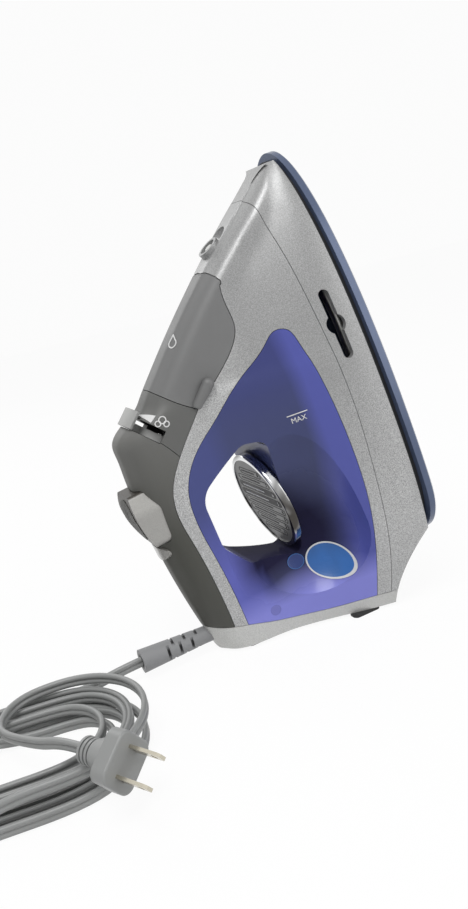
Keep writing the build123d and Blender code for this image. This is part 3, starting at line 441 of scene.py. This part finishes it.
def on_coil(p, q, z):
    """A point along the hank, across it and up, turned and moved to where the hank lies."""
    turn = Matrix.Rotation(COIL_TURN, 3, "Z")
    return turn @ Vector((p, q, z)) + COIL_CENTRE


def run_offset(n):
    """How far run n lies from the hank's middle line."""
    inward = min(n, RUNS_IN) - max(0, n - RUNS_IN)
    return COIL_OUTER - inward * COIL_PITCH / 2 + RUN_STRAY[n]


def turn_points(start, end, z):
    """Control points of a half turn round one end of the hank."""
    outward = 1 if start[0] > 0 else -1
    radius = abs(start[1] - end[1]) / 2 / TURN_REACH
    middle = (start[1] + end[1]) / 2
    side = 1 if start[1] > middle else -1
    angles = [math.radians(90 - TURN_STEP * (i + 0.5)) for i in range(180 // TURN_STEP)]
    return [on_coil(start[0] + outward * radius * math.cos(t), middle + side * radius * math.sin(t), z)
            for t in angles]


def cord_route():
    """Control points from inside the guard, through the hank's runs and turns, to the plug's neck."""
    points = [Vector((EXIT_X - reach, 0, GUARD_HEIGHT)) for reach in (LEAD_START, LEAD_END)]
    first = on_coil(COIL_RUN / 2, COIL_OUTER, COIL_LOW)
    second = on_coil(-COIL_RUN / 2, COIL_OUTER, COIL_LOW)
    points.append(first + (first - second) * LEAD_SHARE)
    z = COIL_LOW
    last = RUNS_IN + RUNS_OUT
    for n in range(last + 1):
        side = 1 if n % 2 == 0 else -1
        end = (-side * (COIL_RUN / 2 + LOOP_STRAY[n]), side * run_offset(n))
        if n in (RUNS_IN, last):
            points.append(on_coil(side * COIL_CLIMB, end[1], z))
            z += COIL_PITCH
            points.append(on_coil(-side * COIL_CLIMB, end[1], z))
        elif n:
            points.append(on_coil(0, end[1], z))
        across = -side * run_offset(n + 1) if n < last else TAIL_Q
        points += turn_points(end, (end[0], across), z)
    way = Vector((math.cos(PLUG_HEADING), math.sin(PLUG_HEADING), 0))
    neck = PLUG_AT - way * PLUG_NECK
    back = Matrix.Rotation(-COIL_TURN, 3, "Z") @ (neck - COIL_CENTRE)
    heading = PLUG_HEADING - COIL_TURN
    stretch = (TAIL_Q - back.y) / -math.sin(heading)
    corner_p = back.x - math.cos(heading) * stretch
    bend_p = corner_p + TAIL_RADIUS * math.tan((math.pi + heading) / 2)
    step = (math.pi + heading) / TAIL_STEPS
    reach = TAIL_RADIUS / (0.5 + 0.5 * math.cos(step / 2))
    for i in range(TAIL_STEPS):
        angle = math.pi / 2 + step * (i + 0.5)
        across = TAIL_Q - TAIL_RADIUS + reach * math.sin(angle)
        points.append(on_coil(bend_p + reach * math.cos(angle), across, z))
    points += [neck - way * distance - Vector((0, 0, drop)) for distance, drop in NECK_POINTS]
    return points


def cord_curve(points, name):
    """NURBS curve with the route's points as its control points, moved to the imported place, in metres."""
    curve = bpy.data.curves.new(name, "CURVE")
    curve.dimensions = "3D"
    spline = curve.splines.new("NURBS")
    spline.points.add(len(points) - 1)
    for place, point in zip(spline.points, points):
        place.co = (*((point + Vector((SHIFT_X, 0, 0))) / 1000), 1)
    spline.order_u = 3
    spline.use_endpoint_u = True
    spline.resolution_u = 6
    curve.twist_mode = "Z_UP"
    piece = bpy.data.objects.new(name, curve)
    bpy.context.scene.collection.objects.link(piece)
    return piece


def twin_section():
    """Section of a flat twin cord on edge: two round leads with a groove between them."""
    section = bpy.data.curves.new("cord_section", "CURVE")
    spline = section.splines.new("POLY")
    rise = CORD_WIDTH / 2 - CORD_LOBE
    outline = []
    for start, sign in ((0, 1), (180, -1)):
        for degrees in range(-60, 241, 30):
            angle = math.radians(start + degrees)
            outline.append((CORD_LOBE * math.cos(angle), sign * rise + CORD_LOBE * math.sin(angle)))
    spline.points.add(len(outline) - 1)
    for place, (x, y) in zip(spline.points, outline):
        place.co = (x / 1000, y / 1000, 0, 1)
    spline.use_cyclic_u = True
    piece = bpy.data.objects.new("cord_section", section)
    bpy.context.scene.collection.objects.link(piece)
    return piece


def make_cord():
    """Flat twin cord swept along its route, in place of the round cord of the CAD part."""
    deselect()
    cord = cord_curve(cord_route(), "cord_tube")
    line = bpy.data.meshes.new_from_object(cord)
    section = twin_section()
    cord.data.bevel_mode = "OBJECT"
    cord.data.bevel_object = section
    cord.data.use_fill_caps = True
    bpy.context.view_layer.objects.active = cord
    cord.select_set(True)
    bpy.ops.object.convert(target="MESH")
    bpy.data.objects.remove(section)
    bpy.ops.object.mode_set(mode="EDIT")
    bpy.ops.mesh.select_all(action="SELECT")
    bpy.ops.mesh.remove_doubles(threshold=0.00001)
    bpy.ops.mesh.normals_make_consistent(inside=False)
    bpy.ops.object.mode_set(mode="OBJECT")
    bpy.ops.object.shade_smooth_by_angle(angle=math.radians(50))
    cord.data.materials.clear()
    cord.data.materials.append(cord_grey)
    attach(cord, "iron")
    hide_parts("power_cord")


make_cord()

# Marks and small fittings, drawn flat and laid on the piece that carries them: their places
FILL_MARK_AT = iron(91.8, -38.4, 55.8)
LABEL_AT = iron(1.8, -60.0, 60.4)
LABEL_LOBE_AT = iron(6.8, -60.0, 76.6)
WEDGE_AT = iron(122.3, -11.0, 126.4)
WEDGE_TIP, WEDGE_END = iron(124.0, -4.0, 129.0), iron(119.8, -16.5, 124.4)
CLOUD_AT = iron(117.4, -18.5, 121.0)
CLOUD_UP = IRON_X - IRON_Z * 0.45
DROP_AT = iron(151.0, -8.0, 96.5)
PAD_AT = iron(70.0, 0, 153.0)
LENS_AT = iron(47.0, 0, 146.0)
MOULD_MARK_AT = iron(-11.5, -19.5, 100.3)

# Rings of faces in a label, and the puffs of the steam cloud as x, y and width in millimetres
LABEL_RINGS = 5
PUFFS = ((-2.3, -0.8, 3.6), (2.3, -0.8, 3.6), (0, 1.2, 4.4))

# Dial: its face, the rows printed on it and the rows that are filled in, counted from the top
DIAL_TILT = math.radians(5.7)
DIAL_UP = IRON_X * math.cos(DIAL_TILT) + IRON_Z * math.sin(DIAL_TILT)
DIAL_AT = iron(44.0, 0, 77.5)
FACE_RADIUS = 26.0
ROWS = 8
ROW_PITCH = 5.6
ROW_HEIGHT = 4.4
ROW_CORNER = 2.1
ROW_MARGIN = 0.6
ROW_LINE = 0.4
FILLED_ROWS = (2, 3)
NUMBER_HEIGHT = 3.2
PRINT_THICK = 0.16


def active(name):
    """Names the piece that was just added or joined."""
    piece = bpy.context.object
    piece.name = name
    return piece


def flat_bar(name, length, width, corner):
    """Bar with rounded corners in the XY plane, in millimetres."""
    deselect()
    bpy.ops.mesh.primitive_plane_add(size=0.001)
    piece = active(name)
    bpy.ops.object.mode_set(mode="EDIT")
    bpy.ops.transform.resize(value=(length, width, 1))
    if corner:
        bpy.ops.mesh.bevel(offset=corner / 1000, segments=4, affect="VERTICES")
    bpy.ops.object.mode_set(mode="OBJECT")
    return piece


def flat_oval(name, length, width, points):
    """Oval in the XY plane, in millimetres."""
    deselect()
    bpy.ops.mesh.primitive_circle_add(vertices=points, radius=0.0005, fill_type="NGON")
    piece = active(name)
    bpy.ops.object.mode_set(mode="EDIT")
    bpy.ops.transform.resize(value=(length, width, 1))
    bpy.ops.object.mode_set(mode="OBJECT")
    return piece


def inset_steps(*steps):
    """Rings of faces inside the active piece's outline, so that it can follow a curved surface."""
    bpy.ops.object.mode_set(mode="EDIT")
    bpy.ops.mesh.select_mode(type="FACE")
    bpy.ops.mesh.select_all(action="SELECT")
    for step in steps:
        bpy.ops.mesh.inset(thickness=step / 1000)
    bpy.ops.object.mode_set(mode="OBJECT")


def open_middle():
    """Deletes the active piece's innermost face, which the last inset left selected."""
    bpy.ops.object.mode_set(mode="EDIT")
    bpy.ops.mesh.delete(type="FACE")
    bpy.ops.object.mode_set(mode="OBJECT")


def lettering(name, words, size):
    """Flat lettering in the XY plane, in millimetres."""
    deselect()
    bpy.ops.object.text_add()
    piece = active(name)
    piece.data.body = words
    piece.data.size = size / 1000
    piece.data.align_x = "CENTER"
    piece.data.align_y = "CENTER"
    bpy.ops.object.convert(target="MESH")
    bpy.ops.object.mode_set(mode="EDIT")
    bpy.ops.mesh.select_all(action="SELECT")
    bpy.ops.mesh.remove_doubles(threshold=0.000005)
    bpy.ops.object.mode_set(mode="OBJECT")
    return piece


def on_surface(node, point):
    """Nearest point of a node's surface, and its normal there."""
    return nodes[node].closest_point_on_mesh(point)[1:3]


def place_flat(piece, place, up, normal):
    """Turns a flat piece to face along normal, its Y axis towards up, and keeps the place in its mesh."""
    side = up.cross(normal).normalized()
    top = normal.cross(side)
    deselect()
    piece.select_set(True)
    bpy.context.view_layer.objects.active = piece
    piece.matrix_world = Matrix.Translation(place) @ Matrix((side, top, normal)).transposed().to_4x4()
    bpy.ops.object.transform_apply(location=True, rotation=True, scale=True)


def finish_mark(piece, wrap, node, lift, thick, materials, body):
    """Draws the piece on to its surface, gives it thickness and, unless it has them, its finishes."""
    wrap.target = nodes[node]
    wrap.wrap_mode = "ABOVE_SURFACE"
    wrap.offset = lift / 1000
    bpy.ops.object.modifier_apply(modifier=wrap.name)
    wall = piece.modifiers.new("wall", "SOLIDIFY")
    wall.thickness = thick / 1000
    wall.offset = 0
    bpy.ops.object.modifier_apply(modifier=wall.name)
    if not piece.data.materials:
        for material in materials:
            piece.data.materials.append(material)
    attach(piece, body)


def lay_on(piece, node, point, up, body, materials, thick, lift):
    """Lays a flat piece on a node's surface at its nearest point."""
    place, normal = on_surface(node, point)
    place_flat(piece, place + normal * (lift / 1000), up, normal)
    wrap = piece.modifiers.new("wrap", "SHRINKWRAP")
    finish_mark(piece, wrap, node, lift, thick, materials, body)


def press_on(piece, node, point, up, body, materials, thick, lift):
    """Presses a flat piece straight on to a node's near side, as a label goes into a hollow."""
    place_flat(piece, point, up, Vector((0, -1, 0)))
    wrap = piece.modifiers.new("wrap", "SHRINKWRAP")
    wrap.wrap_method = "PROJECT"
    wrap.use_project_y = True
    wrap.use_positive_direction = True
    wrap.use_negative_direction = False
    finish_mark(piece, wrap, node, lift, thick, materials, body)


def joined(pieces, name):
    """One piece made of several flat ones."""
    deselect()
    for piece in pieces:
        piece.select_set(True)
    bpy.context.view_layer.objects.active = pieces[0]
    bpy.ops.object.join()
    return active(name)


def moved(piece, x, y):
    """Shifts the active flat piece in its own plane, in millimetres."""
    bpy.ops.object.mode_set(mode="EDIT")
    bpy.ops.mesh.select_all(action="SELECT")
    bpy.ops.transform.translate(value=(x / 1000, y / 1000, 0))
    bpy.ops.object.mode_set(mode="OBJECT")
    return piece


def squeeze(piece, test, value, shift=(0, 0, 0)):
    """Scales the chosen corners of a flat piece about its middle, then shifts them."""
    bpy.ops.object.mode_set(mode="EDIT")
    bpy.ops.mesh.select_mode(type="VERT")
    bpy.ops.mesh.select_all(action="DESELECT")
    bpy.ops.object.mode_set(mode="OBJECT")
    for vertex in piece.data.vertices:
        vertex.select = test(vertex.co * 1000)
    bpy.ops.object.mode_set(mode="EDIT")
    bpy.ops.transform.resize(value=value, center_override=(0, 0, 0))
    bpy.ops.transform.translate(value=Vector(shift) / 1000)
    bpy.ops.object.mode_set(mode="OBJECT")


def fill_mark():
    """Line and word of the water limit on the tank's near side."""
    line = moved(flat_bar("fill_line", length=11.5, width=0.5, corner=0), x=0, y=3.2)
    word = lettering("fill_word", "MAX", size=4.0)
    mark = joined([line, word], "fill_mark")
    lay_on(mark, "water_tank", FILL_MARK_AT, IRON_X, "iron",
           [mark_white], thick=0.2, lift=0.08)


def tank_label(name, point, length, width, rim, materials):
    """Oval label with its rim in the first finish, pressed into the tank's hollow."""
    label = flat_oval(name, length, width, points=48)
    for material in materials:
        label.data.materials.append(material)
    inset_steps(rim)
    for face in label.data.polygons:
        face.material_index = 1 if face.select else 0
    step = (min(length, width) / 2 - rim) / (LABEL_RINGS + 1)
    bpy.ops.object.mode_set(mode="EDIT")
    for ring in range(LABEL_RINGS):
        bpy.ops.mesh.inset(thickness=step / 1000)
    bpy.ops.object.mode_set(mode="OBJECT")
    press_on(label, "water_tank", point, IRON_X, "iron", materials, thick=0.2, lift=0.3)


def lever_scale():
    """Wedge and steam cloud beside the lever's slot."""
    wedge = flat_bar("steam_wedge", length=13.0, width=4.6, corner=0)
    squeeze(wedge, lambda co: co.x < 0, (1, 0.06, 1))
    bpy.ops.object.mode_set(mode="EDIT")
    bpy.ops.mesh.select_all(action="SELECT")
    bpy.ops.mesh.subdivide(number_cuts=7)
    bpy.ops.object.mode_set(mode="OBJECT")
    wedge_up = on_surface("handle_front_cover", WEDGE_AT)[1].cross(WEDGE_END - WEDGE_TIP)
    lay_on(wedge, "handle_front_cover", WEDGE_AT, wedge_up, "iron",
           [mark_white], thick=0.2, lift=0.12)
    puffs = []
    for x, y, size in PUFFS:
        puff = flat_oval("puff", size, size, points=20)
        inset_steps(0.6)
        open_middle()
        puffs.append(moved(puff, x, y))
    cloud = joined(puffs, "steam_cloud")
    lay_on(cloud, "handle_front_cover", CLOUD_AT, CLOUD_UP, "iron",
           [mark_white], thick=0.2, lift=0.12)


def door_drop():
    """Outline of a drop on the fill door."""
    drop = flat_oval("fill_drop", length=5.6, width=5.6, points=24)
    squeeze(drop, lambda co: co.y > 2.0, (0.25, 1, 1), shift=(0, 2.6, 0))
    inset_steps(0.7)
    open_middle()
    lay_on(drop, "fill_door", DROP_AT, IRON_X, "fill_door",
           [mark_white], thick=0.2, lift=0.12)


def dial_rows():
    """Rounded boxes for the heat settings, numbered, across the dial's face."""
    for row in range(ROWS):
        height = (ROWS / 2 - 0.5 - row) * ROW_PITCH
        half = math.sqrt(FACE_RADIUS ** 2 - (abs(height) + ROW_HEIGHT / 2) ** 2) - ROW_MARGIN
        point = DIAL_AT + DIAL_UP * (height / 1000)
        filled = row in FILLED_ROWS
        box = flat_bar("dial_box_%d" % (row + 1), 2 * half, ROW_HEIGHT, ROW_CORNER)
        inset_steps(ROW_LINE)
        if not filled:
            open_middle()
        lay_on(box, "dial_face", point, DIAL_UP, "dial", [mark_dark], PRINT_THICK, lift=0.05)
        tone = mark_white if filled else mark_dark
        lift = 0.22 if filled else 0.08
        number = lettering("dial_number_%d" % (row + 1), str(ROWS - row), NUMBER_HEIGHT)
        moved(number, x=half - NUMBER_HEIGHT, y=0)
        lay_on(number, "dial_face", point, DIAL_UP, "dial", [tone], PRINT_THICK, lift)
        bar = flat_bar("dial_bar_%d" % (row + 1), length=half * 1.2, width=0.9, corner=0.3)
        moved(bar, x=-half * 0.2, y=0)
        lay_on(bar, "dial_face", point, DIAL_UP, "dial", [tone], PRINT_THICK, lift)


def button_insert():
    """Pimpled dark pad on top of the burst button."""
    pad = flat_oval("button_pad", length=25.0, width=27.0, points=48)
    squeeze(pad, lambda co: co.y > 0, (0.86, 1, 1))
    inset_steps(0.8, 2.2, 2.2, 2.2, 2.2)
    lay_on(pad, "burst_button", PAD_AT, IRON_X, "burst_button",
           [button_pad], thick=0.5, lift=0.15)


def lens_ring():
    """Thin dark ring round the indicator lens."""
    ring = flat_oval("lens_ring", length=24.2, width=12.2, points=48)
    inset_steps(1.6)
    open_middle()
    lay_on(ring, "handle_rear_cover", LENS_AT, IRON_X, "iron",
           [shield_black], thick=0.4, lift=0.1)


def mould_mark():
    """Round mould mark on the tank's flared rear."""
    disc = flat_oval("mould_mark", length=6.4, width=6.4, points=32)
    inset_steps(0.5, 1.2)
    lay_on(disc, "water_tank", MOULD_MARK_AT, IRON_X, "iron",
           [mould_tint], thick=0.25, lift=0.06)


fill_mark()
tank_label("tank_label", LABEL_AT, length=22.4, width=20.6, rim=0.9,
           materials=[mark_white, label_blue])
tank_label("tank_label_lobe", LABEL_LOBE_AT, length=10.5, width=8.5, rim=0.4,
           materials=[label_blue, label_deep])
lever_scale()
door_drop()
dial_rows()
button_insert()
lens_ring()
mould_mark()

# Floor, light and camera
FLOOR_WHITENESS = 0.93
SKY_LIGHT, SKY_SEEN = 0.5, 0.97


def seen_rays(nt):
    """1 for rays that show the background itself: to the camera, in a reflection or through glass."""
    rays = add(nt, "ShaderNodeLightPath")
    both = math_node(nt, "MAXIMUM", rays.outputs["Is Camera Ray"], rays.outputs["Is Glossy Ray"])
    return math_node(nt, "MAXIMUM", both, rays.outputs["Is Transmission Ray"])


deselect()
bpy.ops.mesh.primitive_plane_add(size=6, location=(0, 0, 0))
floor = active("floor")
floor_white, nt, shader = new_material("floor_white")
shader.inputs["Base Color"].default_value = (0.85, 0.85, 0.85, 1)
shader.inputs["Roughness"].default_value = 0.9
glow = add(nt, "ShaderNodeEmission", Strength=1.0)
blend = add(nt, "ShaderNodeMixShader")
nt.links.new(math_node(nt, "MULTIPLY", seen_rays(nt), FLOOR_WHITENESS), blend.inputs["Fac"])
nt.links.new(shader.outputs[0], blend.inputs[1])
nt.links.new(glow.outputs[0], blend.inputs[2])
nt.links.new(blend.outputs[0], nt.nodes["Material Output"].inputs["Surface"])
floor.data.materials.append(floor_white)

world = bpy.data.worlds.new("studio")
bpy.context.scene.world = world
world.use_nodes = True
sky = world.node_tree
sky.nodes["Background"].inputs["Color"].default_value = (1, 1, 1, 1)
sky.links.new(between(sky, seen_rays(sky), SKY_LIGHT, SKY_SEEN), sky.nodes["Background"].inputs["Strength"])


def lamp(name, place, target, size, power):
    """Square area lamp aimed at a point, in metres and watts."""
    light = bpy.data.lights.new(name, "AREA")
    light.size = size
    light.energy = power
    piece = bpy.data.objects.new(name, light)
    piece.location = place
    piece.rotation_euler = (Vector(target) - Vector(place)).to_track_quat("-Z", "Y").to_euler()
    bpy.context.scene.collection.objects.link(piece)


lamp("key", place=(-0.35, -0.5, 1.25), target=(0, 0, 0.12), size=0.6, power=10)
lamp("fill", place=(0.8, -0.9, 0.5), target=(0, 0, 0.12), size=0.9, power=4)
lamp("back", place=(-0.35, 0.95, 0.8), target=(0, 0, 0.15), size=0.6, power=2.5)

# Camera as fitted to the photograph: angles in radians, place in millimetres, focal length in pixels
CAMERA_TURN, CAMERA_RISE, CAMERA_ROLL = -0.380814, 0.251710, -0.226971
CAMERA_AT = Vector((-253.4 + SHIFT_X, -399.1, 219.1))
FOCAL_PIXELS = 775.6
PHOTO_HEIGHT = 909
SENSOR_HEIGHT = 36
back = Vector((math.sin(CAMERA_TURN) * math.cos(CAMERA_RISE),
               -math.cos(CAMERA_TURN) * math.cos(CAMERA_RISE), math.sin(CAMERA_RISE)))
level = Vector((math.cos(CAMERA_TURN), math.sin(CAMERA_TURN), 0))
upright = back.cross(level)
right = level * math.cos(CAMERA_ROLL) + upright * math.sin(CAMERA_ROLL)
up = upright * math.cos(CAMERA_ROLL) - level * math.sin(CAMERA_ROLL)
camera_data = bpy.data.cameras.new("camera")
camera_data.sensor_fit = "VERTICAL"
camera_data.sensor_height = SENSOR_HEIGHT
camera_data.lens = FOCAL_PIXELS / PHOTO_HEIGHT * SENSOR_HEIGHT
camera_data.clip_start = 0.01
camera = bpy.data.objects.new("camera", camera_data)
camera.matrix_world = Matrix((right, up, back)).transposed().to_4x4()
camera.matrix_world.translation = CAMERA_AT / 1000
bpy.context.scene.collection.objects.link(camera)
bpy.context.scene.camera = camera
bpy.context.scene.view_settings.view_transform = "Standard"
